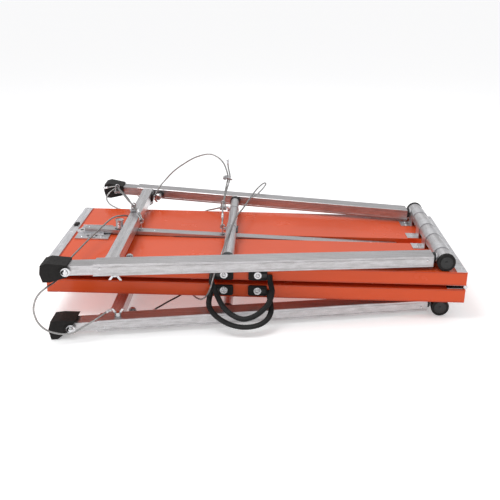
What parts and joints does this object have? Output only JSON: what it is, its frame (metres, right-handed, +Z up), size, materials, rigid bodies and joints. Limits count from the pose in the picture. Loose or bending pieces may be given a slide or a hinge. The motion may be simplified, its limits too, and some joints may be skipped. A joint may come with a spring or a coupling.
{
  "type": "folding stretcher",
  "caption": "Folding stretcher of two hinged boards, each with a splayed leg frame, telescoping legs, a sliding brace latch, carrying handle and wire ropes.",
  "frame": {"origin": "on the floor, under the middle of the folded stretcher's box without its ropes", "axes": "+X from the feet to the hinge end, -Y towards the handles, +Z up"},
  "size_m": [1.006, 0.7416, 0.2895],
  "materials": {
    "orange_board": "gloss",
    "aluminium": "satin",
    "bright_steel": "bright",
    "black_rubber": "matt",
    "black_webbing": "ribbed",
    "wire_rope": "stranded"
  },
  "bodies": {
    "lower_board": {"lower_panel": "orange_board", "lower_foot_strip": "aluminium", "lower_saddle": "bright_steel", "lower_hinge_leaf": "bright_steel", "hinge_pin": "bright_steel", "lower_latch_plate": "bright_steel", "lower_brace_pin": "bright_steel", "lower_handle_pad_foot": "black_rubber", "lower_handle_pad_hinge": "black_rubber"},
    "lower_frame": {"lower_pivot_tube": "aluminium", "lower_tube_cap_near": "black_rubber", "lower_tube_cap_far": "black_rubber", "lower_rail_near": "aluminium", "lower_rail_far": "aluminium", "lower_square_bar": "aluminium", "lower_round_bar": "aluminium", "rope_lower_run": "wire_rope"},
    "lower_brace_body": {"lower_brace": "aluminium"},
    "lower_knob": {"lower_latch_knob": "bright_steel"},
    "lower_grip": {"lower_handle": "black_webbing"},
    "lower_foot_near": {"lower_leg_near": "aluminium", "lower_shoe_near": "black_rubber"},
    "lower_clamp_near": {"lower_wing_bolt_near": "bright_steel"},
    "lower_pull_near": {"lower_plunger_near": "bright_steel"},
    "lower_foot_far": {"lower_leg_far": "aluminium", "lower_shoe_far": "black_rubber"},
    "lower_clamp_far": {"lower_wing_bolt_far": "bright_steel"},
    "lower_pull_far": {"lower_plunger_far": "bright_steel"},
    "upper_board": {"upper_panel": "orange_board", "upper_foot_strip": "aluminium", "upper_saddle": "bright_steel", "upper_hinge_leaf": "bright_steel", "upper_latch_plate": "bright_steel", "upper_brace_pin": "bright_steel", "upper_handle_pad_foot": "black_rubber", "upper_handle_pad_hinge": "black_rubber"},
    "upper_frame": {"upper_pivot_tube": "aluminium", "upper_tube_cap_near": "black_rubber", "upper_tube_cap_far": "black_rubber", "upper_rail_near": "aluminium", "upper_rail_far": "aluminium", "upper_square_bar": "aluminium", "upper_round_bar": "aluminium", "rope_foot_tether": "wire_rope", "rope_middle_tether": "wire_rope", "rope_near_run": "wire_rope", "rope_middle_run": "wire_rope"},
    "upper_brace_body": {"upper_brace": "aluminium", "foot_eye_bolt": "bright_steel", "middle_eye_bolt": "bright_steel"},
    "upper_knob": {"upper_latch_knob": "bright_steel"},
    "upper_grip": {"upper_handle": "black_webbing"},
    "upper_foot_near": {"upper_leg_near": "aluminium", "upper_shoe_near": "black_rubber"},
    "upper_clamp_near": {"upper_wing_bolt_near": "bright_steel"},
    "upper_pull_near": {"upper_plunger_near": "bright_steel"},
    "upper_foot_far": {"upper_leg_far": "aluminium", "upper_shoe_far": "black_rubber"},
    "upper_clamp_far": {"upper_wing_bolt_far": "bright_steel"},
    "upper_pull_far": {"upper_plunger_far": "bright_steel"}
  },
  "joints": [
    {"name": "board_fold", "type": "hinge", "parent": "lower_board", "child": "upper_board", "pos_m": [0.49804, -0.00549, 0.08123], "axis": [0, 1, 0], "range_deg": [0, 180], "deforming": ["rope_middle_run", "rope_near_run"]},
    {"name": "upper_frame_swing", "type": "hinge", "parent": "upper_board", "child": "upper_frame", "pos_m": [0.44778, -0.00549, 0.14277], "axis": [0, 1, 0], "range_deg": [0, 80], "deforming": ["rope_foot_tether", "rope_middle_tether"]},
    {"name": "upper_brace_swing", "type": "hinge", "parent": "upper_board", "child": "upper_brace_body", "pos_m": [0.36009, -0.00549, 0.10975], "axis": [0, 1, 0], "range_deg": [0, 72]},
    {"name": "upper_knob_pull", "type": "slide", "parent": "upper_brace_body", "child": "upper_knob", "axis": [0.0511, 0, 0.9987], "range_m": [0, 0.01], "stiffness_N_per_m": 300, "springref_m": -0.004},
    {"name": "upper_handle_swing", "type": "hinge", "parent": "upper_board", "child": "upper_grip", "pos_m": [-0.03694, -0.22329, 0.11216], "axis": [-0.9998, 0, 0.0204], "range_deg": [0, 60]},
    {"name": "upper_leg_slide_near", "type": "slide", "parent": "upper_frame", "child": "upper_foot_near", "axis": [-0.9854, -0.1673, 0.0306], "range_m": [-0.04, 0.2]},
    {"name": "upper_clamp_turn_near", "type": "hinge", "parent": "upper_frame", "child": "upper_clamp_near", "pos_m": [-0.31732, -0.30981, 0.15134], "axis": [0.0311, 0, 0.9995], "range_deg": [-90, 90]},
    {"name": "upper_plunger_pull_near", "type": "slide", "parent": "upper_frame", "child": "upper_pull_near", "axis": [-0.1672, 0.9859, 0.0052], "range_m": [0, 0.008], "stiffness_N_per_m": 300, "springref_m": -0.004},
    {"name": "upper_leg_slide_far", "type": "slide", "parent": "upper_frame", "child": "upper_foot_far", "axis": [-0.9854, 0.1673, 0.0306], "range_m": [-0.04, 0.2]},
    {"name": "upper_clamp_turn_far", "type": "hinge", "parent": "upper_frame", "child": "upper_clamp_far", "pos_m": [-0.31732, 0.29883, 0.15134], "axis": [0.0311, 0, 0.9995], "range_deg": [-90, 90]},
    {"name": "upper_plunger_pull_far", "type": "slide", "parent": "upper_frame", "child": "upper_pull_far", "axis": [-0.1672, -0.9859, 0.0052], "range_m": [0, 0.008], "stiffness_N_per_m": 300, "springref_m": -0.004},
    {"name": "lower_frame_swing", "type": "hinge", "parent": "lower_board", "child": "lower_frame", "pos_m": [0.44531, 0.00651, 0.02179], "axis": [0, -1, 0], "range_deg": [0, 80], "deforming": ["rope_lower_run"]},
    {"name": "lower_brace_swing", "type": "hinge", "parent": "lower_board", "child": "lower_brace_body", "pos_m": [0.35904, -0.00549, 0.05837], "axis": [0, -1, 0], "range_deg": [0, 72]},
    {"name": "lower_knob_pull", "type": "slide", "parent": "lower_brace_body", "child": "lower_knob", "axis": [0.0103, 0, -0.9999], "range_m": [0, 0.01], "stiffness_N_per_m": 300, "springref_m": -0.004},
    {"name": "lower_handle_swing", "type": "hinge", "parent": "lower_board", "child": "lower_grip", "pos_m": [-0.03776, -0.22329, 0.07217], "axis": [-0.9998, 0, 0.0204], "range_deg": [0, 60]},
    {"name": "lower_leg_slide_near", "type": "slide", "parent": "lower_frame", "child": "lower_foot_near", "axis": [-0.9859, -0.1673, 0.0012], "range_m": [-0.04, 0.2]},
    {"name": "lower_clamp_turn_near", "type": "hinge", "parent": "lower_frame", "child": "lower_clamp_near", "pos_m": [-0.31967, -0.29781, 0.03794], "axis": [-0.0012, 0, -1], "range_deg": [-90, 90]},
    {"name": "lower_plunger_pull_near", "type": "slide", "parent": "lower_frame", "child": "lower_pull_near", "axis": [-0.1673, 0.9859, 0.0002], "range_m": [0, 0.008], "stiffness_N_per_m": 300, "springref_m": -0.004},
    {"name": "lower_leg_slide_far", "type": "slide", "parent": "lower_frame", "child": "lower_foot_far", "axis": [-0.9859, 0.1673, 0.0012], "range_m": [-0.04, 0.2]},
    {"name": "lower_clamp_turn_far", "type": "hinge", "parent": "lower_frame", "child": "lower_clamp_far", "pos_m": [-0.31967, 0.31083, 0.03794], "axis": [-0.0012, 0, -1], "range_deg": [-90, 90]},
    {"name": "lower_plunger_pull_far", "type": "slide", "parent": "lower_frame", "child": "lower_pull_far", "axis": [-0.1673, -0.9859, 0.0002], "range_m": [0, 0.008], "stiffness_N_per_m": 300, "springref_m": -0.004}
  ],
  "couplings": [
    {"joint": "upper_brace_swing", "follows": "upper_frame_swing", "ratio": 0.9},
    {"joint": "lower_brace_swing", "follows": "lower_frame_swing", "ratio": 0.9},
    {"joint": "lower_handle_swing", "follows": "upper_handle_swing", "ratio": 1}
  ]
}
